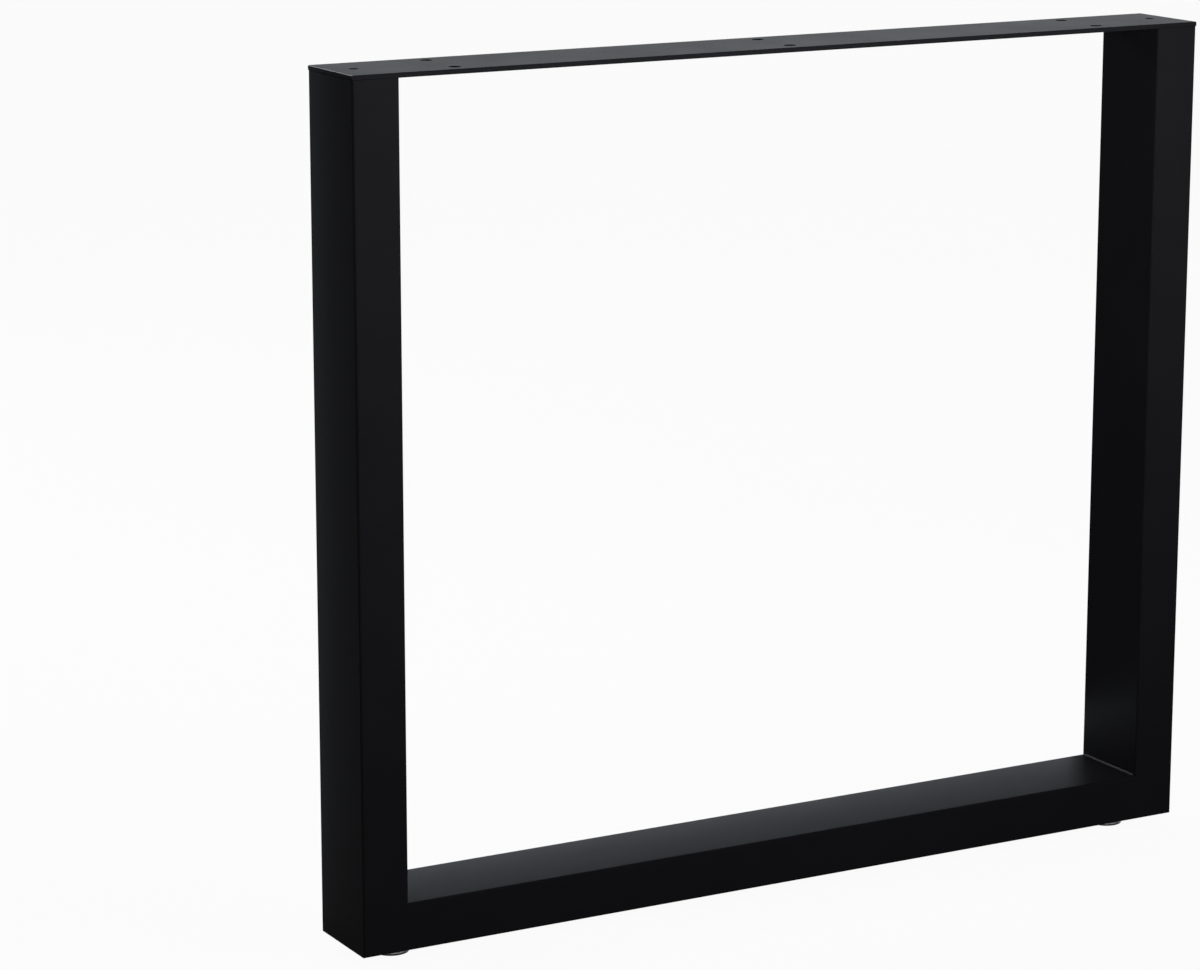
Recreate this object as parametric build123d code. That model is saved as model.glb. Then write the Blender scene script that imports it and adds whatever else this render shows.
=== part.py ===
"""Steel table leg: two posts and a floor rail of rectangular tube, closed by a screw-on plate.

The frame stands on the floor at z = 0, its width along X, its depth along Y with the front at -Y.
Two levelling feet are screwed into threaded inserts in the rail's lower wall.
"""

import os
from math import radians, sqrt, tan

from build123d import *

# Overall sizes
LEG_WIDTH = 800.0
LEG_HEIGHT = 720.0

# Rectangular tube
TUBE_FACE = 40.0
TUBE_DEPTH = 80.0
TUBE_WALL = 1.5
TUBE_CORNER = 2.0
TUBE_INSIDE_CORNER_MIN = 0.5

# Plate under the table top
PLATE_THICKNESS = 4.0
PLATE_EDGE_CHAMFER = 0.5
SCREW_HOLE_DIAMETER = 10.0
SCREW_HOLE_END_INSET = 95.0
SCREW_HOLE_PAIR_SPACING = 50.0
VENT_HOLE_DIAMETER = 8.0

# Weld beads
CORNER_WELD_LEG = 1.5
PLATE_WELD_LEG = 2.5
PLATE_WELD_LENGTH = 50.0
WELD_HOLLOW = 0.46

# Thread of the levelling feet
THREAD_DIAMETER = 8.0
THREAD_CLEARANCE = 0.05
STUD_THREAD_LENGTH = 25.0
STUD_TIP_CHAMFER = 1.0

# Threaded insert in the rail
FOOT_INSET = 43.0
INSERT_FLANGE_DIAMETER = 15.0
INSERT_FLANGE_THICKNESS = 1.5
INSERT_BODY_DIAMETER = 11.0
INSERT_BODY_LENGTH = 15.0
INSERT_HOLE_CLEARANCE = 0.05
INSERT_BULGE_DIAMETER = 14.5
INSERT_BULGE_HEIGHT = 3.5

# Hexagon and captive head of the stud
HEX_ACROSS_FLATS = 13.0
HEX_HEIGHT = 4.0
HEX_CHAMFER_INSET = 0.3
HEX_CHAMFER_ANGLE = 30.0
HEAD_DIAMETER = 12.0
HEAD_HEIGHT = 2.0
NECK_DIAMETER = 7.0
SOCKET_CLEARANCE = 0.05
HEAD_END_PLAY = 0.1
HUB_CLEARANCE = 0.2

# Moulded base of the foot
BASE_DIAMETER = 30.0
BASE_RIM_HEIGHT = 1.3
BASE_RIM_CHAMFER = 0.5
BASE_DRAFT_HEIGHT = 1.6
BASE_DRAFT_INSET = 0.4
BASE_SLOPE_RISE = 1.1
BASE_FLOOR = 2.0
HUB_DIAMETER = 17.0
HUB_HEIGHT = 6.3
HUB_CHAMFER = 0.6

# Levels, from the floor upwards
HEX_BOTTOM = HUB_HEIGHT + HUB_CLEARANCE
HEX_TOP = HEX_BOTTOM + HEX_HEIGHT
RAIL_BOTTOM = HEX_TOP + INSERT_FLANGE_THICKNESS
RAIL_TOP = RAIL_BOTTOM + TUBE_FACE
PLATE_BOTTOM = LEG_HEIGHT - PLATE_THICKNESS

# Places along X, from the middle
POST_OUTSIDE = LEG_WIDTH / 2
POST_INSIDE = POST_OUTSIDE - TUBE_FACE
POST_CENTRE = POST_OUTSIDE - TUBE_FACE / 2
FOOT_CENTRE = POST_OUTSIDE - FOOT_INSET


def turned(profile):
    """Solid of revolution about Z from a profile drawn as (radius, height)."""
    return revolve(Plane.XZ * profile, Axis.Z)


def chamfered(profile, corner, length):
    """The profile with the corner nearest to a (radius, height) point cut off."""
    vertex = profile.vertices().sort_by_distance((*corner, 0))[0]
    return chamfer(vertex, length)


def tube(length):
    """Rectangular tube standing on z = 0, its narrow side along X."""
    inside_corner = max(TUBE_CORNER - TUBE_WALL, TUBE_INSIDE_CORNER_MIN)
    outline = RectangleRounded(TUBE_FACE, TUBE_DEPTH, TUBE_CORNER)
    hollow = RectangleRounded(TUBE_FACE - 2 * TUBE_WALL, TUBE_DEPTH - 2 * TUBE_WALL, inside_corner)
    return extrude(outline - hollow, length)


# The mitre runs from the frame's outer bottom corner to the inner corner, its normal up the post
LEFT_MITRE = Plane(origin=(-POST_OUTSIDE, 0, RAIL_BOTTOM), x_dir=(0, 1, 0), z_dir=(-1, 0, 1))


def left_post():
    """Post with a square top under the plate and a mitred foot."""
    blank = Pos(-POST_CENTRE, 0, RAIL_BOTTOM) * tube(PLATE_BOTTOM - RAIL_BOTTOM)
    return split(blank, LEFT_MITRE, Keep.TOP)


def bottom_rail():
    """Rail with both ends mitred and a hole in its lower wall for each insert."""
    lying = Pos(-POST_OUTSIDE, 0, RAIL_BOTTOM + TUBE_FACE / 2) * Rot(0, 90, 0) * tube(LEG_WIDTH)
    rail = split(lying, LEFT_MITRE, Keep.BOTTOM)
    rail = mirror(split(mirror(rail, Plane.YZ), LEFT_MITRE, Keep.BOTTOM), Plane.YZ)
    drill = Cylinder(INSERT_BODY_DIAMETER / 2 + INSERT_HOLE_CLEARANCE, 4 * TUBE_WALL)
    return rail - [Pos(x, 0, RAIL_BOTTOM) * drill for x in (-FOOT_CENTRE, FOOT_CENTRE)]


def top_plate():
    """Flat bar with three pairs of screw holes and a vent hole over each post."""
    bar = Pos(0, 0, PLATE_BOTTOM) * extrude(Rectangle(LEG_WIDTH, TUBE_DEPTH), PLATE_THICKNESS)
    bar = chamfer(bar.edges().filter_by(Axis.Z, reverse=True), PLATE_EDGE_CHAMFER)
    screw_x = POST_OUTSIDE - SCREW_HOLE_END_INSET
    screw_drill = Cylinder(SCREW_HOLE_DIAMETER / 2, 2 * PLATE_THICKNESS)
    vent_drill = Cylinder(VENT_HOLE_DIAMETER / 2, 2 * PLATE_THICKNESS)
    middle = PLATE_BOTTOM + PLATE_THICKNESS / 2
    for x in (-screw_x, 0, screw_x):
        for y in (-SCREW_HOLE_PAIR_SPACING / 2, SCREW_HOLE_PAIR_SPACING / 2):
            bar -= Pos(x, y, middle) * screw_drill
    for x in (-POST_CENTRE, POST_CENTRE):
        bar -= Pos(x, 0, middle) * vent_drill
    return bar


def weld_bead(leg, length):
    """Slightly hollow bead along Y, in the corner between +X and +Z."""
    middle = leg * WELD_HOLLOW
    outline = make_face([
        Line((0, 0), (leg, 0)),
        ThreePointArc((leg, 0), (middle, middle), (0, leg)),
        Line((0, leg), (0, 0)),
    ])
    return extrude(Plane.XZ * outline, length / 2, both=True)


def left_corner_weld():
    """Bead in the inner corner between the post and the rail, along the flat of the tube."""
    bead = weld_bead(CORNER_WELD_LEG, TUBE_DEPTH - 2 * TUBE_CORNER)
    return Pos(-POST_INSIDE, 0, RAIL_TOP) * bead


def left_plate_weld():
    """Short bead under the plate, on the inner face of the post."""
    bead = weld_bead(PLATE_WELD_LEG, PLATE_WELD_LENGTH)
    return Pos(-POST_INSIDE, 0, PLATE_BOTTOM) * mirror(bead, Plane.XY)


def foot_insert():
    """Threaded insert set in the rail's lower wall, clamped by its flange and its bulge."""
    bore = THREAD_DIAMETER / 2 + THREAD_CLEARANCE
    flange = INSERT_FLANGE_DIAMETER / 2
    body = INSERT_BODY_DIAMETER / 2
    wall_inside = RAIL_BOTTOM + TUBE_WALL
    bulge_top = wall_inside + INSERT_BULGE_HEIGHT
    body_top = RAIL_BOTTOM + INSERT_BODY_LENGTH
    bulge = INSERT_BULGE_DIAMETER / 2
    outline = make_face(Polyline(
        (bore, HEX_TOP), (flange, HEX_TOP), (flange, RAIL_BOTTOM), (body, RAIL_BOTTOM), (body, wall_inside),
        (bulge, wall_inside), (body, bulge_top), (body, body_top), (bore, body_top), close=True))
    return turned(outline)


def foot_stud():
    """Threaded stud with a hexagon for a spanner and a round head held in the base."""
    head = HEAD_DIAMETER / 2
    neck = NECK_DIAMETER / 2
    shaft = THREAD_DIAMETER / 2
    head_top = BASE_FLOOR + HEAD_HEIGHT
    tip = HEX_TOP + STUD_THREAD_LENGTH
    held_end = make_face(Polyline(
        (0, BASE_FLOOR), (head, BASE_FLOOR), (head, head_top), (neck, head_top), (neck, HEX_TOP), (0, HEX_TOP),
        close=True))
    threaded_end = make_face(Polyline(
        (0, HEX_BOTTOM), (shaft, HEX_BOTTOM), (shaft, tip - STUD_TIP_CHAMFER), (shaft - STUD_TIP_CHAMFER, tip),
        (0, tip), close=True))
    flat = HEX_ACROSS_FLATS / 2
    corner = HEX_ACROSS_FLATS / sqrt(3)
    crown = flat - HEX_CHAMFER_INSET
    crown_rise = (corner - crown) * tan(radians(HEX_CHAMFER_ANGLE))
    crown_outline = make_face(Polyline(
        (0, HEX_BOTTOM), (crown, HEX_BOTTOM), (corner, HEX_BOTTOM + crown_rise), (corner, HEX_TOP), (0, HEX_TOP),
        close=True))
    hexagon = Pos(0, 0, HEX_BOTTOM) * extrude(RegularPolygon(flat, 6, major_radius=False), HEX_HEIGHT)
    return turned(held_end) + turned(threaded_end) + (hexagon & turned(crown_outline))


def foot_base():
    """Moulded disc that stays still on the floor while the stud turns in its socket."""
    rim = BASE_DIAMETER / 2
    shoulder = rim - BASE_DRAFT_INSET
    hub = HUB_DIAMETER / 2
    shoulder_top = BASE_RIM_HEIGHT + BASE_DRAFT_HEIGHT
    slope_top = shoulder_top + BASE_SLOPE_RISE
    socket = HEAD_DIAMETER / 2 + SOCKET_CLEARANCE
    throat = NECK_DIAMETER / 2 + SOCKET_CLEARANCE
    socket_top = BASE_FLOOR + HEAD_HEIGHT + HEAD_END_PLAY
    outline = make_face(Polyline(
        (0, 0), (rim, 0), (rim, BASE_RIM_HEIGHT), (shoulder, shoulder_top), (hub, slope_top), (hub, HUB_HEIGHT),
        (throat, HUB_HEIGHT), (throat, socket_top), (socket, socket_top), (socket, BASE_FLOOR), (0, BASE_FLOOR),
        close=True))
    for corner, length in (
        ((rim, 0), BASE_RIM_CHAMFER),
        ((shoulder, shoulder_top), BASE_RIM_CHAMFER),
        ((hub, HUB_HEIGHT), HUB_CHAMFER),
    ):
        outline = chamfered(outline, corner, length)
    return turned(outline)


def main():
    """Write one file for each piece, left pieces mirrored to the right."""
    os.makedirs("parts", exist_ok=True)
    at_left_foot = Pos(-FOOT_CENTRE, 0, 0)
    left_pieces = {
        "post": left_post(),
        "corner_weld": left_corner_weld(),
        "plate_weld": left_plate_weld(),
        "foot_insert": at_left_foot * foot_insert(),
        "foot_stud": at_left_foot * foot_stud(),
        "foot_base": at_left_foot * foot_base(),
    }
    pieces = {"bottom_rail": bottom_rail(), "top_plate": top_plate()}
    for name, piece in left_pieces.items():
        pieces[f"left_{name}"] = piece
        pieces[f"right_{name}"] = mirror(piece, Plane.YZ)
    for name, piece in pieces.items():
        export_step(piece, f"parts/{name}.step")


main()
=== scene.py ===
"""Looks of a steel table leg: its coated frame, weld beads and levelling feet, in a white studio."""

import math
from typing import NamedTuple

import bmesh
import bpy
from bpy.props import FloatProperty, FloatVectorProperty, IntProperty, PointerProperty
from mathutils import Matrix, Vector


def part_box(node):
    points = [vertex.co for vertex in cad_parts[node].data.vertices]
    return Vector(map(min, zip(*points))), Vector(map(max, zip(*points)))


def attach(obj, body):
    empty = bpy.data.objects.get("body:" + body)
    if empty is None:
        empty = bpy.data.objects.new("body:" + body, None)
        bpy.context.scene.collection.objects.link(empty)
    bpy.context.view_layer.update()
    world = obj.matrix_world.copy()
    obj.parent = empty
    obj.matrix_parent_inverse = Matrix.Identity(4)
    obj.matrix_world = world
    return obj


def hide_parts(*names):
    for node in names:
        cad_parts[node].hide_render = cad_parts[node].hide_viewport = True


bl_info = {
    "name": "Table Leg",
    "version": (1, 0, 0),
    "blender": (4, 5, 0),
    "location": "View3D > Sidebar > Table Leg",
    "description": "Finishes, weld beads and levelling feet of a steel table leg",
    "category": "Object",
}

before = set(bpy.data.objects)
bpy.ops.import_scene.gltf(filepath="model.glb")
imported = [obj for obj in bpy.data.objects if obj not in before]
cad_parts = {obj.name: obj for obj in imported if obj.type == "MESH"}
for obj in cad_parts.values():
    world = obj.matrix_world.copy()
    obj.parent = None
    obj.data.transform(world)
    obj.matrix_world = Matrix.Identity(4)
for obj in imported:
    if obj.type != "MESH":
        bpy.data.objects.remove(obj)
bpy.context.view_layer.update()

MM = 0.001
SIDES = ("left", "right")
COATED_NODES = ("left_post", "right_post", "bottom_rail", "top_plate")
MERGE_DISTANCE = 0.001 * MM
UP = Vector((0, 0, 1))
WHITE = (1.0, 1.0, 1.0, 1.0)
NOISE_MEAN = 0.5
SENSOR_WIDTH_MM = 36.0
HEX_SIDES = 6

# Levels and widths of the foot that its boxes give
STUD_LOW, STUD_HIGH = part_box("left_foot_stud")
BASE_LOW, BASE_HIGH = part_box("left_foot_base")
HEX_ACROSS_FLATS = STUD_HIGH.y - STUD_LOW.y
HEX_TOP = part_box("left_foot_insert")[0].z
BASE_DIAMETER = BASE_HIGH.x - BASE_LOW.x

# Outline of the plate's flat top, inside its chamfered edges
PLATE_CHAMFER = 0.5 * MM
FLAT_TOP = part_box("top_plate")[1] - Vector((PLATE_CHAMFER, PLATE_CHAMFER, PLATE_CHAMFER))

# Metric thread form as shares of the pitch: depth, flats, and how far the tooth is sunk into the core
THREAD_DEPTH_SHARE = 5 / 8 * math.sqrt(3) / 2
THREAD_CREST_SHARE = 1 / 8
THREAD_ROOT_SHARE = 1 / 4
THREAD_SINK_SHARE = 1 / 10

# Edges that turn by less than these angles are shaded smooth
SMOOTH_BEAD = math.radians(40)
SMOOTH_STUD = math.radians(30)
SMOOTH_BASE = math.radians(35)


# Settings of each group of pieces

class LEG_PG_coat(bpy.types.PropertyGroup):
    """Powder coat on the tubes, the plate and the weld beads."""

    colour: FloatVectorProperty(
        name="Colour", description="Colour of the cured powder", subtype="COLOR", size=3,
        min=0.0, max=1.0, default=(0.0052, 0.0052, 0.0060))
    thin_colour: FloatVectorProperty(
        name="Thin colour", description="Colour where the powder lies a little thinner", subtype="COLOR",
        size=3, min=0.0, max=1.0, default=(0.0068, 0.0068, 0.0078))
    gloss: FloatProperty(
        name="Gloss", description="Specular level of the resin",
        min=0.0, max=1.0, precision=4, default=0.0020)
    bead_gloss: FloatProperty(
        name="Bead gloss", description="Specular level on the beads, where the resin flows together",
        min=0.0, max=1.0, precision=4, default=0.008)
    roughness: FloatProperty(
        name="Roughness", description="Mean roughness of the satin surface", min=0.0, max=1.0, default=0.36)
    edge_roughness: FloatProperty(
        name="Edge roughness",
        description="Roughness on the plate's edges, where the resin is drawn thin and smooth",
        min=0.0, max=1.0, default=0.10)
    bead_roughness: FloatProperty(
        name="Bead roughness", description="Mean roughness on the beads", min=0.0, max=1.0, default=0.24)
    roughness_spread: FloatProperty(
        name="Roughness spread", description="How far the roughness wanders from place to place",
        min=0.0, max=0.5, default=0.08)
    cloud_size: FloatProperty(
        name="Cloud size", description="Width of the areas of thicker and thinner powder", unit="LENGTH",
        min=0.001, default=55 * MM)
    peel_size: FloatProperty(
        name="Peel size", description="Width of one orange-peel wave", unit="LENGTH",
        min=0.0001, default=3.2 * MM)
    peel_depth: FloatProperty(
        name="Peel depth", description="Height of the orange-peel waves", unit="LENGTH", min=0.0,
        precision=6, default=0.020 * MM)
    grain_size: FloatProperty(
        name="Grain size", description="Width of one grain of the fine texture", unit="LENGTH",
        min=0.0001, precision=5, default=0.7 * MM)
    grain_depth: FloatProperty(
        name="Grain depth", description="Height of the fine texture", unit="LENGTH", min=0.0,
        precision=6, default=0.012 * MM)


class LEG_PG_weld(bpy.types.PropertyGroup):
    """Weld beads in the inner corners."""

    hollow: FloatProperty(
        name="Hollow", description="Distance of the bead's middle from either wall, as a share of its leg",
        min=0.2, max=0.49, default=0.46)
    facets: IntProperty(
        name="Facets", description="Facets across the bead's hollow face", min=2, default=8)
    ripple_pitch: FloatProperty(
        name="Ripple pitch", description="Distance between two ripples of the bead", unit="LENGTH",
        min=0.0005, default=1.7 * MM)
    ripple_height: FloatProperty(
        name="Ripple height", description="How much a ripple swells the bead, as a share of its leg",
        min=0.0, max=0.2, default=0.04)
    rings_per_ripple: IntProperty(
        name="Rings per ripple", description="Rings of faces along one ripple", min=2, default=6)
    bow: FloatProperty(
        name="Bow", description="How far the middle of each ripple runs ahead of its ends", unit="LENGTH",
        min=0.0, default=0.8 * MM)
    end_length: FloatProperty(
        name="End length", description="Length over which the bead thins out at its ends", unit="LENGTH",
        min=0.0005, default=1.5 * MM)
    end_size: FloatProperty(
        name="End size", description="Size of the bead at its very end, as a share",
        min=0.1, max=1.0, default=0.75)


class LEG_PG_stud(bpy.types.PropertyGroup):
    """Threaded studs of the levelling feet, and the plating of studs and inserts."""

    thread_diameter: FloatProperty(
        name="Thread diameter", description="Outer diameter of the thread", unit="LENGTH",
        min=0.002, default=8 * MM)
    thread_pitch: FloatProperty(
        name="Thread pitch", description="Rise of the thread in one turn", unit="LENGTH",
        min=0.0002, default=1.25 * MM)
    steps_per_turn: IntProperty(
        name="Steps per turn", description="Facets in one turn of the thread", min=12, default=40)
    tip_chamfer: FloatProperty(
        name="Tip chamfer", description="Length of the cone at the tip", unit="LENGTH",
        min=0.0, default=1 * MM)
    head_diameter: FloatProperty(
        name="Head diameter", description="Diameter of the head held in the base", unit="LENGTH",
        min=0.001, default=12 * MM)
    head_height: FloatProperty(
        name="Head height", description="Thickness of the head", unit="LENGTH", min=0.0005, default=2 * MM)
    neck_diameter: FloatProperty(
        name="Neck diameter", description="Diameter between the head and the hexagon", unit="LENGTH",
        min=0.001, default=7 * MM)
    hex_height: FloatProperty(
        name="Hexagon height", description="Height of the hexagon for a spanner", unit="LENGTH",
        min=0.001, default=4 * MM)
    crown_inset: FloatProperty(
        name="Crown inset", description="How far the round crown lies inside the flats", unit="LENGTH",
        min=0.0, default=0.3 * MM)
    crown_angle: FloatProperty(
        name="Crown angle", description="Slope of the crown on the hexagon's corners", subtype="ANGLE",
        min=0.0, default=math.radians(30))
    crown_facets: IntProperty(
        name="Crown facets", description="Flat cuts that make up the round crown", min=12, default=36)
    colour: FloatVectorProperty(
        name="Colour", description="Colour of the bright zinc", subtype="COLOR", size=3,
        min=0.0, max=1.0, default=(0.56, 0.57, 0.59))
    dull_colour: FloatVectorProperty(
        name="Dull colour", description="Colour of the zinc where it has gone dull", subtype="COLOR", size=3,
        min=0.0, max=1.0, default=(0.44, 0.45, 0.48))
    roughness: FloatProperty(
        name="Roughness", description="Mean roughness of the plating", min=0.0, max=1.0, default=0.34)
    roughness_spread: FloatProperty(
        name="Roughness spread", description="How far the roughness wanders from place to place",
        min=0.0, max=0.5, default=0.2)
    patch_size: FloatProperty(
        name="Patch size", description="Width of the dull patches", unit="LENGTH",
        min=0.0005, default=6 * MM)
    crystal_size: FloatProperty(
        name="Crystal size", description="Width of one crystal of the plating", unit="LENGTH",
        min=0.0001, precision=5, default=0.35 * MM)
    crystal_depth: FloatProperty(
        name="Crystal depth", description="Height of the crystals", unit="LENGTH", min=0.0,
        precision=6, default=0.004 * MM)


class LEG_PG_base(bpy.types.PropertyGroup):
    """Moulded bases of the levelling feet."""

    rim_height: FloatProperty(
        name="Rim height", description="Height of the rim's upright side", unit="LENGTH",
        min=0.0005, default=1.3 * MM)
    draft_height: FloatProperty(
        name="Draft height", description="Height of the rim's leaning side, above its upright side",
        unit="LENGTH", min=0.0005, default=1.6 * MM)
    draft_inset: FloatProperty(
        name="Draft inset", description="How far the leaning side goes in", unit="LENGTH", min=0.0,
        default=0.4 * MM)
    slope_rise: FloatProperty(
        name="Slope rise", description="Rise from the rim to the hub", unit="LENGTH",
        min=0.0, default=1.1 * MM)
    hub_diameter: FloatProperty(
        name="Hub diameter", description="Diameter of the hub around the stud", unit="LENGTH",
        min=0.002, default=17 * MM)
    floor_thickness: FloatProperty(
        name="Floor thickness", description="Thickness under the stud's head", unit="LENGTH",
        min=0.0005, default=2 * MM)
    socket_clearance: FloatProperty(
        name="Socket clearance", description="Room around the stud's head and neck", unit="LENGTH",
        min=0.0, precision=5, default=0.05 * MM)
    head_play: FloatProperty(
        name="Head play", description="Room above the stud's head", unit="LENGTH", min=0.0, precision=5,
        default=0.1 * MM)
    edge_round: FloatProperty(
        name="Edge round", description="Radius of the moulded edges", unit="LENGTH",
        min=0.0, default=0.35 * MM)
    edge_segments: IntProperty(
        name="Edge segments", description="Facets across a moulded edge", min=1, default=4)
    segments: IntProperty(
        name="Segments", description="Facets round the base", min=16, default=96)
    colour: FloatVectorProperty(
        name="Colour", description="Colour of the nylon", subtype="COLOR", size=3,
        min=0.0, max=1.0, default=(0.008, 0.008, 0.0085))
    scuff_colour: FloatVectorProperty(
        name="Scuff colour", description="Colour of the paler flow marks", subtype="COLOR", size=3,
        min=0.0, max=1.0, default=(0.013, 0.013, 0.0135))
    gloss: FloatProperty(
        name="Gloss", description="Specular level of the nylon", min=0.0, max=1.0, default=0.12)
    roughness: FloatProperty(
        name="Roughness", description="Mean roughness of the moulding", min=0.0, max=1.0, default=0.18)
    roughness_spread: FloatProperty(
        name="Roughness spread", description="How far the roughness wanders from place to place",
        min=0.0, max=0.5, default=0.12)
    polish: FloatProperty(
        name="Polish", description="Gloss on the leaning side, which the mould leaves polished",
        min=0.0, max=1.0, subtype="FACTOR", default=1.0)
    polish_roughness: FloatProperty(
        name="Polish roughness", description="Roughness of the polished side",
        min=0.0, max=1.0, default=0.12)
    flow_size: FloatProperty(
        name="Flow size", description="Width of the flow marks", unit="LENGTH", min=0.0005, default=9 * MM)
    erosion_size: FloatProperty(
        name="Erosion size", description="Width of one pit of the mould's spark-eroded grain", unit="LENGTH",
        min=0.0001, precision=5, default=0.4 * MM)
    erosion_depth: FloatProperty(
        name="Erosion depth", description="Depth of the grain", unit="LENGTH", min=0.0,
        precision=6, default=0.02 * MM)


class LEG_PG_stage(bpy.types.PropertyGroup):
    """Floor, studio light and camera."""

    floor_size: FloatProperty(
        name="Floor size", description="Length of the floor's side", unit="LENGTH", min=1.0, default=60.0)
    floor_colour: FloatVectorProperty(
        name="Floor colour", description="Colour of the pale floor", subtype="COLOR", size=3,
        min=0.0, max=1.0, default=(0.50, 0.50, 0.50))
    floor_white: FloatProperty(
        name="Floor white", description="Share of plain white in the floor as it is seen", min=0.0, max=1.0,
        subtype="FACTOR", default=0.95)
    sky_colour: FloatVectorProperty(
        name="Sky colour", description="Colour of the light from all round", subtype="COLOR", size=3,
        min=0.0, max=1.0, default=(0.20, 0.205, 0.213))
    overhead_strength: FloatProperty(
        name="Overhead strength", description="Strength of the wide light overhead", min=0.0, default=0.5)
    front_power: FloatProperty(
        name="Front power", description="Power of the soft box in front", unit="POWER",
        min=0.0, default=14.5)
    rear_power: FloatProperty(
        name="Rear power", description="Power of the soft box behind the plate", unit="POWER",
        min=0.0, default=5.0)
    rail_power: FloatProperty(
        name="Rail power", description="Power of the low strip behind the rail", unit="POWER",
        min=0.0, default=0.34)
    foot_power: FloatProperty(
        name="Foot power", description="Power of the low strip in front that lights the feet", unit="POWER",
        min=0.0, default=4.8)
    edge_power: FloatProperty(
        name="Edge power", description="Power of the soft box that lights the edges from behind",
        unit="POWER", min=0.0, default=36.0)
    side_power: FloatProperty(
        name="Side power", description="Power of the upright strip behind the left post", unit="POWER",
        min=0.0, default=0.29)
    azimuth: FloatProperty(
        name="Azimuth", description="Turn of the camera from the front, to the right", subtype="ANGLE",
        default=math.radians(-29.05))
    elevation: FloatProperty(
        name="Elevation", description="Height of the camera above the horizon", subtype="ANGLE",
        default=math.radians(12.72))
    distance: FloatProperty(
        name="Distance", description="Distance of the camera from its aim", unit="LENGTH",
        min=0.1, default=3.310)
    aim: FloatVectorProperty(
        name="Aim", description="Point that the camera looks at", subtype="TRANSLATION", size=3,
        default=(-0.1251, 0.0668, 0.3496))
    lens: FloatProperty(
        name="Lens", description="Focal length in millimetres", subtype="DISTANCE_CAMERA",
        min=1.0, default=118.6)


class LEG_PG_looks(bpy.types.PropertyGroup):
    """All settings of the table leg."""

    coat: PointerProperty(type=LEG_PG_coat)
    weld: PointerProperty(type=LEG_PG_weld)
    stud: PointerProperty(type=LEG_PG_stud)
    base: PointerProperty(type=LEG_PG_base)
    stage: PointerProperty(type=LEG_PG_stage)


# Shader nodes written as Python expressions

class Wire:
    """An output socket that takes part in Python arithmetic by adding Math nodes."""

    def __init__(self, board, socket):
        self.board = board
        self.socket = socket

    def other(self, name):
        """Another output of the same node."""
        return Wire(self.board, self.socket.node.outputs[name])

    def maths(self, operation, first, second):
        """Result of one Math node."""
        return self.board.add("ShaderNodeMath", {"operation": operation}, {0: first, 1: second})

    def __add__(self, value):
        return self.maths("ADD", self, value)

    def __radd__(self, value):
        return self.maths("ADD", value, self)

    def __sub__(self, value):
        return self.maths("SUBTRACT", self, value)

    def __rsub__(self, value):
        return self.maths("SUBTRACT", value, self)

    def __mul__(self, value):
        return self.maths("MULTIPLY", self, value)

    def __rmul__(self, value):
        return self.maths("MULTIPLY", value, self)

    def __gt__(self, value):
        return self.maths("GREATER_THAN", self, value)

    def __or__(self, value):
        return self.maths("MAXIMUM", self, value)

    def __abs__(self):
        return self.maths("ABSOLUTE", self, 0.0)


class NodeBoard:
    """The nodes of one material or world, added by type."""

    def __init__(self, tree):
        self.tree = tree
        tree.nodes.clear()

    def add(self, kind, settings=None, inputs=None, output=0):
        """Add a node, set it up, fill its sockets with values or wires, and return one output."""
        node = self.tree.nodes.new(kind)
        for name, value in (settings or {}).items():
            setattr(node, name, value)
        for key, value in (inputs or {}).items():
            if isinstance(value, Wire):
                self.tree.links.new(value.socket, node.inputs[key])
            else:
                node.inputs[key].default_value = value
        return Wire(self, node.outputs[output]) if node.outputs else None

    def noise(self, place, size, detail):
        """Cloudy values around NOISE_MEAN, with lumps of a given width in metres."""
        return self.add(
            "ShaderNodeTexNoise", {"noise_dimensions": "3D"},
            {"Vector": place, "Scale": 1 / size, "Detail": detail})

    def blend(self, share, first, second):
        """Colour between two colours."""
        return self.add(
            "ShaderNodeMix", {"data_type": "RGBA", "clamp_factor": True},
            {0: share, 6: (*first, 1), 7: (*second, 1)}, output=2)

    def bumped(self, height):
        """Normal of a surface whose height is given in metres."""
        return self.add("ShaderNodeBump", {}, {"Strength": 1.0, "Distance": 1.0, "Height": height})

    def unlit_rays(self):
        """One for the rays that should meet the white studio: seen, mirrored or let through."""
        camera = self.add("ShaderNodeLightPath", output="Is Camera Ray")
        return camera + (camera.other("Is Glossy Ray") + camera.other("Is Transmission Ray"))

    def surface(self, shader):
        """Make a shader the material's surface."""
        self.add("ShaderNodeOutputMaterial", {}, {"Surface": shader})


# Finishes

def plate_edge(board, place):
    """One on the chamfered edges round the plate's top, none elsewhere."""
    x = board.add("ShaderNodeSeparateXYZ", {}, {0: place})
    y, z = x.other("Y"), x.other("Z")
    return ((abs(x) > FLAT_TOP.x) | (abs(y) > FLAT_TOP.y)) * (z > FLAT_TOP.z)


def paint_powder_coat(board, coat, gloss, roughness):
    """Satin black powder coat: cloudy thickness, orange peel and a fine grain."""
    place = board.add("ShaderNodeTexCoord", output="Object")
    clouds = board.noise(place, coat.cloud_size, detail=3.0)
    peel = board.noise(place, coat.peel_size, detail=1.0)
    grain = board.noise(place, coat.grain_size, detail=2.0)
    wander = roughness + (clouds - NOISE_MEAN) * coat.roughness_spread
    shader = board.add("ShaderNodeBsdfPrincipled", {}, {
        "Base Color": board.blend(clouds, coat.colour, coat.thin_colour),
        "Roughness": wander - plate_edge(board, place) * (roughness - coat.edge_roughness),
        "Specular IOR Level": gloss,
        "Normal": board.bumped(peel * coat.peel_depth + grain * coat.grain_depth),
    })
    board.surface(shader)


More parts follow.
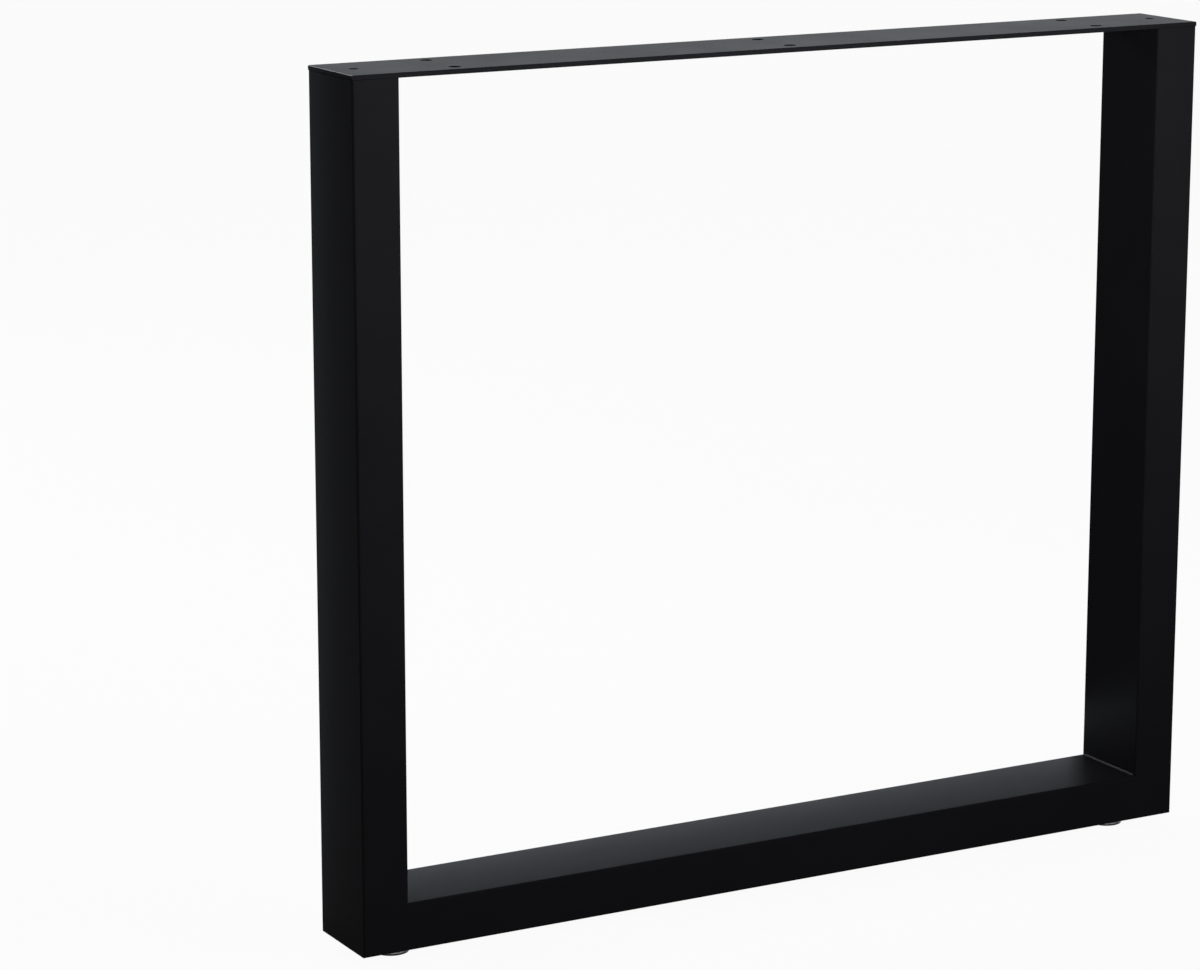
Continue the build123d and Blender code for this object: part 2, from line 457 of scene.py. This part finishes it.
def paint_bright_zinc(board, stud):
    """Bright zinc plating with dull patches and a fine crystal grain."""
    place = board.add("ShaderNodeTexCoord", output="Object")
    patches = board.noise(place, stud.patch_size, detail=4.0)
    crystals = board.noise(place, stud.crystal_size, detail=1.0)
    shader = board.add("ShaderNodeBsdfPrincipled", {}, {
        "Base Color": board.blend(patches, stud.dull_colour, stud.colour),
        "Metallic": 1.0,
        "Roughness": stud.roughness + (patches - NOISE_MEAN) * stud.roughness_spread,
        "Normal": board.bumped(crystals * stud.crystal_depth),
    })
    board.surface(shader)


def paint_black_nylon(board, base):
    """Black moulded nylon with faint flow marks, a spark-eroded grain and a polished leaning side."""
    place = board.add("ShaderNodeTexCoord", output="Object")
    flow = board.noise(place, base.flow_size, detail=3.0)
    erosion = board.noise(place, base.erosion_size, detail=2.0)
    height = board.add("ShaderNodeSeparateXYZ", {}, {0: place}, output="Z")
    rim_top = BASE_LOW.z + base.rim_height
    leaning = (height > rim_top) - (height > rim_top + base.draft_height)
    shader = board.add("ShaderNodeBsdfPrincipled", {}, {
        "Base Color": board.blend(flow, base.colour, base.scuff_colour),
        "Roughness": base.roughness + (flow - NOISE_MEAN) * base.roughness_spread,
        "Specular IOR Level": base.gloss,
        "Coat Weight": leaning * base.polish,
        "Coat Roughness": base.polish_roughness,
        "Normal": board.bumped(erosion * base.erosion_depth),
    })
    board.surface(shader)


def paint_studio_floor(board, stage):
    """Pale floor that is seen as white, keeps a soft shadow and is clear from below."""
    unlit = board.unlit_rays()
    lit_floor = board.add("ShaderNodeBsdfDiffuse", {}, {"Color": (*stage.floor_colour, 1)})
    white = board.add("ShaderNodeEmission", {}, {"Color": WHITE, "Strength": 1.0})
    floor = board.add("ShaderNodeMixShader", {}, {0: unlit * stage.floor_white, 1: lit_floor, 2: white})
    clear = board.add("ShaderNodeBsdfTransparent")
    below = board.add("ShaderNodeNewGeometry", output="Backfacing")
    board.surface(board.add("ShaderNodeMixShader", {}, {0: below, 1: floor, 2: clear}))


def finish(name, paint, *settings):
    """The named material, painted the first time it is asked for."""
    known = bpy.data.materials.get(name)
    if known:
        return known
    made = bpy.data.materials.new(name)
    made.use_nodes = True
    paint(NodeBoard(made.node_tree), *settings)
    return made


def powder_coat(coat):
    """Coat of the tubes and the plate."""
    return finish("satin_black_powder", paint_powder_coat, coat, coat.gloss, coat.roughness)


def bead_coat(coat):
    """The same coat on the weld beads, where it sets smoother."""
    return finish("smooth_black_powder", paint_powder_coat, coat, coat.bead_gloss, coat.bead_roughness)


def bright_zinc(stud):
    """Plating of the studs and inserts."""
    return finish("bright_zinc", paint_bright_zinc, stud)


def black_nylon(base):
    """Moulding of the bases."""
    return finish("moulded_black_nylon", paint_black_nylon, base)


def coat_node(node, material):
    """Give a carried-over solid its finish."""
    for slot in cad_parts[node].material_slots:
        slot.material = material


# Shapes

def new_piece(name, bm, material, smooth_below):
    """Turn a bmesh into a shaded object of the scene, its faces pointing outwards."""
    bmesh.ops.remove_doubles(bm, verts=bm.verts, dist=MERGE_DISTANCE)
    bmesh.ops.recalc_face_normals(bm, faces=bm.faces)
    for face in bm.faces:
        face.smooth = True
    mesh = bpy.data.meshes.new(name)
    bm.to_mesh(mesh)
    bm.free()
    mesh.set_sharp_from_angle(angle=smooth_below)
    mesh.materials.append(material)
    piece = bpy.data.objects.new(name, mesh)
    bpy.context.scene.collection.objects.link(piece)
    return piece


def turn_profile(bm, points, segments):
    """Spin an open chain of (radius, height) points all the way round Z."""
    chain = [bm.verts.new((radius, 0, height)) for radius, height in points]
    edges = [bm.edges.new(pair) for pair in zip(chain, chain[1:])]
    bmesh.ops.spin(
        bm, geom=chain + edges, cent=(0, 0, 0), axis=UP, angle=math.tau, steps=segments, use_merge=True)
    bmesh.ops.remove_doubles(bm, verts=bm.verts, dist=MERGE_DISTANCE)


def ring_edges(bm, corners):
    """Edges that run round Z through one of the given (radius, height) corners."""
    rings = []
    for edge in bm.edges:
        ends = [(vert.co.xy.length, vert.co.z) for vert in edge.verts]
        if any(all(math.dist(end, corner) < MERGE_DISTANCE for end in ends) for corner in corners):
            rings.append(edge)
    return rings


def bead_size(place, run, weld):
    """Size of a bead at a place along its run, as a share: thinned at its ends, swollen by its ripples."""
    ease = min(1.0, place / weld.end_length, (run - place) / weld.end_length)
    thinned = weld.end_size + (1 - weld.end_size) * math.sin(ease * math.pi / 2)
    swell = weld.ripple_height * abs(math.sin(math.pi * place / weld.ripple_pitch))
    return thinned * (1 - weld.ripple_height + swell)


def bead_section(bm, leg, weld):
    """End face of a bead in the corner between +X and +Z: its hollow side is an arc, bowed along Y."""
    middle = weld.hollow * leg
    centre = (leg ** 2 - 2 * middle ** 2) / (2 * (leg - 2 * middle))
    sweep = math.pi / 2 - 2 * math.atan2(centre - leg, centre)
    start = bm.verts.new((leg, 0, 0))
    bmesh.ops.spin(
        bm, geom=[start], cent=(centre, 0, centre), axis=(0, 1, 0), angle=sweep, steps=weld.facets,
        use_merge=False)
    arc = sorted(bm.verts, key=lambda vert: vert.co.z)
    for vert in arc:
        across = (vert.co.x - vert.co.z) / leg
        vert.co.y = weld.bow * (1 - across ** 2)
    corner = bm.verts.new((0, 0, 0))
    return bm.faces.new([corner, *arc])


def grow_bead(bm, leg, length, weld):
    """Hollow bead along Y, its section drawn out ring by ring and closed at both ends."""
    face = bead_section(bm, leg, weld)
    run = length - weld.bow
    rings = math.ceil(length / weld.ripple_pitch * weld.rings_per_ripple)
    step = run / rings
    sizes = [bead_size(ring * step, run, weld) for ring in range(rings + 1)]
    bmesh.ops.scale(bm, vec=(sizes[0], 1, sizes[0]), verts=face.verts)
    for size, next_size in zip(sizes, sizes[1:]):
        grown = bmesh.ops.extrude_face_region(bm, geom=[face])["geom"]
        faces = [part for part in grown if isinstance(part, bmesh.types.BMFace)]
        bmesh.ops.delete(bm, geom=[face], context="FACES_ONLY")
        face = faces[0]
        change = next_size / size
        bmesh.ops.scale(bm, vec=(change, 1, change), verts=face.verts)
        bmesh.ops.translate(bm, vec=(0, step, 0), verts=face.verts)
    first = [edge for edge in bm.edges if edge.is_boundary]
    bmesh.ops.contextual_create(bm, geom=first)


def run_bead(node, side, at_top, looks):
    """One weld bead in the place of its plain solid."""
    low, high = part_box(node)
    bm = bmesh.new()
    grow_bead(bm, high.x - low.x, high.y - low.y, looks.weld)
    flip_x = 1 if side == "left" else -1
    flip_z = -1 if at_top else 1
    bmesh.ops.scale(bm, vec=(flip_x, 1, flip_z), verts=bm.verts)
    corner = Vector((low.x if side == "left" else high.x, low.y, high.z if at_top else low.z))
    bmesh.ops.translate(bm, vec=corner, verts=bm.verts)
    bead = new_piece(f"{node}_bead", bm, bead_coat(looks.coat), SMOOTH_BEAD)
    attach(bead, "frame")
    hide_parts(node)


def cut_hexagon(bm, low, stud):
    """Hexagon with a round crown on its lower corners."""
    turn = Matrix.Rotation(math.pi / HEX_SIDES, 4, "Z")
    place = Matrix.Translation((0, 0, low + stud.hex_height / 2))
    corner = HEX_ACROSS_FLATS / math.sqrt(3)
    bmesh.ops.create_cone(
        bm, cap_ends=True, cap_tris=False, segments=HEX_SIDES, radius1=corner, radius2=corner,
        depth=stud.hex_height, matrix=place @ turn)
    crown = HEX_ACROSS_FLATS / 2 - stud.crown_inset
    for facet in range(stud.crown_facets):
        outward = Matrix.Rotation(math.tau * facet / stud.crown_facets, 3, "Z") @ Vector((1, 0, 0))
        normal = outward * math.sin(stud.crown_angle) - UP * math.cos(stud.crown_angle)
        cut = bmesh.ops.bisect_plane(
            bm, geom=bm.verts[:] + bm.edges[:] + bm.faces[:], dist=MERGE_DISTANCE,
            plane_co=outward * crown + UP * low, plane_no=normal, clear_outer=True)
        rim = [part for part in cut["geom_cut"] if isinstance(part, bmesh.types.BMEdge)]
        if rim:
            bmesh.ops.contextual_create(bm, geom=rim)


def thread_root(stud):
    """Radius at the bottom of the thread."""
    return stud.thread_diameter / 2 - THREAD_DEPTH_SHARE * stud.thread_pitch


def wind_thread(bm, low, high, stud):
    """Right-hand helical thread tooth, its root sunk a little into the core."""
    pitch = stud.thread_pitch
    crest_radius = stud.thread_diameter / 2
    root_radius = thread_root(stud)
    sunk_radius = root_radius - THREAD_SINK_SHARE * pitch
    half_crest = THREAD_CREST_SHARE * pitch / 2
    half_root = (1 - THREAD_ROOT_SHARE) * pitch / 2
    outline = (
        (sunk_radius, -half_root), (root_radius, -half_root), (crest_radius, -half_crest),
        (crest_radius, half_crest), (root_radius, half_root), (sunk_radius, half_root))
    tooth = [bm.verts.new((radius, 0, low + half_root + height)) for radius, height in outline]
    face = bm.faces.new(tooth)
    steps = math.floor((high - low - 2 * half_root) / pitch * stud.steps_per_turn)
    turn = math.tau / stud.steps_per_turn
    bmesh.ops.spin(
        bm, geom=[face, *face.edges, *face.verts], cent=(0, 0, 0), axis=UP, angle=turn * steps, steps=steps,
        dvec=(0, 0, pitch / stud.steps_per_turn))


def point_tip(bm, top, stud):
    """Draw in what stands outside the cone at the stud's tip."""
    for vert in bm.verts:
        radius = vert.co.xy.length
        cone = stud.thread_diameter / 2 - stud.tip_chamfer + (top - vert.co.z)
        if radius > cone:
            vert.co.xy *= cone / radius


def turn_stud(side, looks):
    """Stud with its head, neck, hexagon and thread, in the place of its plain solid."""
    stud = looks.stud
    node = f"{side}_foot_stud"
    low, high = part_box(node)
    hex_bottom = HEX_TOP - stud.hex_height
    hex_middle = (hex_bottom + HEX_TOP) / 2
    head = stud.head_diameter / 2
    head_top = low.z + stud.head_height
    neck = stud.neck_diameter / 2
    core = thread_root(stud)
    bm = bmesh.new()
    # The hexagon comes first, because its cuts go through everything in the bmesh
    cut_hexagon(bm, hex_bottom, stud)
    turn_profile(
        bm, ((0, low.z), (head, low.z), (head, head_top), (neck, head_top), (neck, hex_middle),
             (core, hex_middle), (core, high.z), (0, high.z)), stud.steps_per_turn)
    wind_thread(bm, hex_middle, high.z, stud)
    point_tip(bm, high.z, stud)
    bmesh.ops.translate(bm, vec=((low.x + high.x) / 2, 0, 0), verts=bm.verts)
    piece = new_piece(f"{node}_threaded", bm, bright_zinc(stud), SMOOTH_STUD)
    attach(piece, f"{side}_stud")
    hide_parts(node)


def mould_base(side, looks):
    """Round base with a hub and a socket for the stud's head, its outer edges rounded."""
    base = looks.base
    node = f"{side}_foot_base"
    low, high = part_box(node)
    rim = BASE_DIAMETER / 2
    hub = base.hub_diameter / 2
    socket = looks.stud.head_diameter / 2 + base.socket_clearance
    throat = looks.stud.neck_diameter / 2 + base.socket_clearance
    floor = low.z + base.floor_thickness
    socket_top = floor + looks.stud.head_height + base.head_play
    rim_top = low.z + base.rim_height
    shoulder = rim - base.draft_inset
    shoulder_top = rim_top + base.draft_height
    slope_top = shoulder_top + base.slope_rise
    bm = bmesh.new()
    turn_profile(
        bm, ((0, floor), (socket, floor), (socket, socket_top), (throat, socket_top), (throat, high.z),
             (hub, high.z), (hub, slope_top), (shoulder, shoulder_top), (rim, rim_top), (rim, low.z),
             (0, low.z)), base.segments)
    rounded = ring_edges(bm, ((rim, low.z), (shoulder, shoulder_top), (hub, slope_top), (hub, high.z)))
    bmesh.ops.bevel(
        bm, geom=rounded, offset=base.edge_round, offset_type="OFFSET", affect="EDGES",
        segments=base.edge_segments, profile=0.5, material=-1, clamp_overlap=True)
    bmesh.ops.translate(bm, vec=((low.x + high.x) / 2, 0, 0), verts=bm.verts)
    piece = new_piece(f"{node}_moulded", bm, black_nylon(base), SMOOTH_BASE)
    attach(piece, f"{side}_base")
    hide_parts(node)


# Stage

class SoftBox(NamedTuple):
    """A flat lamp: where it hangs, what it faces, its width and height in metres, and its light."""

    name: str
    place: tuple
    target: tuple
    width: float
    height: float
    shape: str = "RECTANGLE"
    colour: tuple = (1.0, 1.0, 1.0)
    spread: float = math.pi


# Lamps, placed in metres in the leg's own frame
COOL_WHITE = (0.86, 0.92, 1.0)
FRONT_BOX = SoftBox(
    "front_soft_box", place=(0.05, -0.90, 0.80), target=(0.0, 0.0, 1.13), width=1.0, height=0.5,
    spread=math.radians(140))
REAR_BOX = SoftBox(
    "rear_soft_box", place=(0.65, 1.05, 1.00), target=(0.0, 0.0, 0.72), width=1.7, height=0.6,
    colour=COOL_WHITE)
RAIL_STRIP = SoftBox(
    "rail_strip", place=(0.045, 0.11, 0.064), target=(0.045, 0.0, 0.064), width=0.71, height=0.024,
    colour=COOL_WHITE, spread=math.radians(110))
SIDE_STRIP = SoftBox(
    "side_strip", place=(-0.411, 0.066, 0.85), target=(-0.411, 0.0, 0.85), width=0.020, height=1.70,
    shape="ELLIPSE", colour=COOL_WHITE)
EDGE_BOX = SoftBox(
    "edge_soft_box", place=(-0.66, 2.56, 1.85), target=(0.0, 0.0, 0.4), width=0.5, height=0.5)
FOOT_STRIP = SoftBox(
    "foot_strip", place=(0.30, -1.20, 0.145), target=(0.30, 0.0, 0.145), width=2.4, height=0.13)
OVERHEAD_FROM = Vector((0.196, -0.539, 0.819))
OVERHEAD_SPREAD = math.radians(40)


def lay_floor(stage):
    """Square floor under the leg, which isn't part of it."""
    bm = bmesh.new()
    bmesh.ops.create_grid(bm, x_segments=1, y_segments=1, size=stage.floor_size / 2)
    mesh = bpy.data.meshes.new("studio_floor")
    bm.to_mesh(mesh)
    bm.free()
    mesh.materials.append(finish("studio_floor", paint_studio_floor, stage))
    floor = bpy.data.objects.new("studio_floor", mesh)
    bpy.context.scene.collection.objects.link(floor)


def light_sky(stage):
    """Soft light from all round, seen as plain white."""
    sky = bpy.data.worlds.new("studio_sky")
    sky.use_nodes = True
    board = NodeBoard(sky.node_tree)
    light = board.add("ShaderNodeBackground", {}, {"Color": (*stage.sky_colour, 1), "Strength": 1.0})
    white = board.add("ShaderNodeBackground", {}, {"Color": WHITE, "Strength": 1.0})
    seen = board.add("ShaderNodeMixShader", {}, {0: board.unlit_rays(), 1: light, 2: white})
    board.add("ShaderNodeOutputWorld", {}, {"Surface": seen})
    bpy.context.scene.world = sky


def face_lamp(lamp, place, direction):
    """Put a lamp in the scene, out of the camera's sight."""
    lit = bpy.data.objects.new(lamp.name, lamp)
    lit.location = place
    lit.rotation_euler = direction.to_track_quat("-Z", "Y").to_euler()
    lit.visible_camera = False
    bpy.context.scene.collection.objects.link(lit)


def hang_soft_box(box, power):
    """Hang one flat lamp, turned to what it faces."""
    lamp = bpy.data.lights.new(box.name, "AREA")
    lamp.shape = box.shape
    lamp.size = box.width
    lamp.size_y = box.height
    lamp.energy = power
    lamp.color = box.colour
    lamp.spread = box.spread
    face_lamp(lamp, box.place, Vector(box.target) - Vector(box.place))


def hang_overhead(strength):
    """Hang the wide light overhead."""
    lamp = bpy.data.lights.new("overhead_light", "SUN")
    lamp.angle = OVERHEAD_SPREAD
    lamp.energy = strength
    face_lamp(lamp, OVERHEAD_FROM, -OVERHEAD_FROM)


def set_camera(stage):
    """Camera at a turn, height and distance from its aim."""
    data = bpy.data.cameras.new("product_camera")
    data.sensor_fit = "HORIZONTAL"
    data.sensor_width = SENSOR_WIDTH_MM
    data.lens = stage.lens
    camera = bpy.data.objects.new("product_camera", data)
    back = Vector((
        math.sin(stage.azimuth) * math.cos(stage.elevation),
        -math.cos(stage.azimuth) * math.cos(stage.elevation),
        math.sin(stage.elevation)))
    camera.location = Vector(stage.aim) + back * stage.distance
    camera.rotation_euler = (-back).to_track_quat("-Z", "Y").to_euler()
    bpy.context.scene.collection.objects.link(camera)
    bpy.context.scene.camera = camera


# Operators and panel

class LEG_OT_coat_frame(bpy.types.Operator):
    """Powder coat the posts, the rail and the plate"""

    bl_idname = "table_leg.coat_frame"
    bl_label = "Coat Frame"

    def execute(self, context):
        for node in COATED_NODES:
            coat_node(node, powder_coat(context.scene.table_leg.coat))
        return {"FINISHED"}


class LEG_OT_run_beads(bpy.types.Operator):
    """Run the weld beads in the inner corners of the frame"""

    bl_idname = "table_leg.run_beads"
    bl_label = "Run Weld Beads"

    def execute(self, context):
        for side in SIDES:
            run_bead(f"{side}_corner_weld", side, False, context.scene.table_leg)
            run_bead(f"{side}_plate_weld", side, True, context.scene.table_leg)
        return {"FINISHED"}


class LEG_OT_fit_studs(bpy.types.Operator):
    """Plate the inserts and turn the threaded studs of the feet"""

    bl_idname = "table_leg.fit_studs"
    bl_label = "Fit Inserts and Studs"

    def execute(self, context):
        for side in SIDES:
            coat_node(f"{side}_foot_insert", bright_zinc(context.scene.table_leg.stud))
            turn_stud(side, context.scene.table_leg)
        return {"FINISHED"}


class LEG_OT_mould_bases(bpy.types.Operator):
    """Mould the round bases of the feet"""

    bl_idname = "table_leg.mould_bases"
    bl_label = "Mould Foot Bases"

    def execute(self, context):
        for side in SIDES:
            mould_base(side, context.scene.table_leg)
        return {"FINISHED"}


class LEG_OT_set_stage(bpy.types.Operator):
    """Lay the floor, hang the lamps and set the camera"""

    bl_idname = "table_leg.set_stage"
    bl_label = "Set Stage"

    def execute(self, context):
        stage = context.scene.table_leg.stage
        lay_floor(stage)
        light_sky(stage)
        hang_overhead(stage.overhead_strength)
        hang_soft_box(FRONT_BOX, stage.front_power)
        hang_soft_box(REAR_BOX, stage.rear_power)
        hang_soft_box(RAIL_STRIP, stage.rail_power)
        hang_soft_box(EDGE_BOX, stage.edge_power)
        hang_soft_box(SIDE_STRIP, stage.side_power)
        hang_soft_box(FOOT_STRIP, stage.foot_power)
        set_camera(stage)
        context.scene.view_settings.view_transform = "Standard"
        return {"FINISHED"}


class LEG_PT_looks(bpy.types.Panel):
    """Sidebar panel with each piece's settings above its button"""

    bl_idname = "LEG_PT_looks"
    bl_label = "Table Leg"
    bl_space_type = "VIEW_3D"
    bl_region_type = "UI"
    bl_category = "Table Leg"

    def draw(self, context):
        looks = context.scene.table_leg
        for settings, operator in (
            (looks.coat, LEG_OT_coat_frame),
            (looks.weld, LEG_OT_run_beads),
            (looks.stud, LEG_OT_fit_studs),
            (looks.base, LEG_OT_mould_bases),
            (looks.stage, LEG_OT_set_stage),
        ):
            box = self.layout.box()
            for name in settings.bl_rna.properties.keys():
                if name not in ("rna_type", "name"):
                    box.prop(settings, name)
            box.operator(operator.bl_idname)


CLASSES = (
    LEG_PG_coat, LEG_PG_weld, LEG_PG_stud, LEG_PG_base, LEG_PG_stage, LEG_PG_looks,
    LEG_OT_coat_frame, LEG_OT_run_beads, LEG_OT_fit_studs, LEG_OT_mould_bases, LEG_OT_set_stage,
    LEG_PT_looks,
)


def register():
    """Make the settings, operators and panel known to Blender."""
    for cls in CLASSES:
        bpy.utils.register_class(cls)
    bpy.types.Scene.table_leg = PointerProperty(type=LEG_PG_looks)


def unregister():
    """Take them out again."""
    del bpy.types.Scene.table_leg
    for cls in reversed(CLASSES):
        bpy.utils.unregister_class(cls)


def main():
    """Dress the frame and set the stage."""
    register()
    bpy.ops.table_leg.coat_frame()
    bpy.ops.table_leg.run_beads()
    bpy.ops.table_leg.fit_studs()
    bpy.ops.table_leg.mould_bases()
    bpy.ops.table_leg.set_stage()


if __name__ == "__main__":
    main()
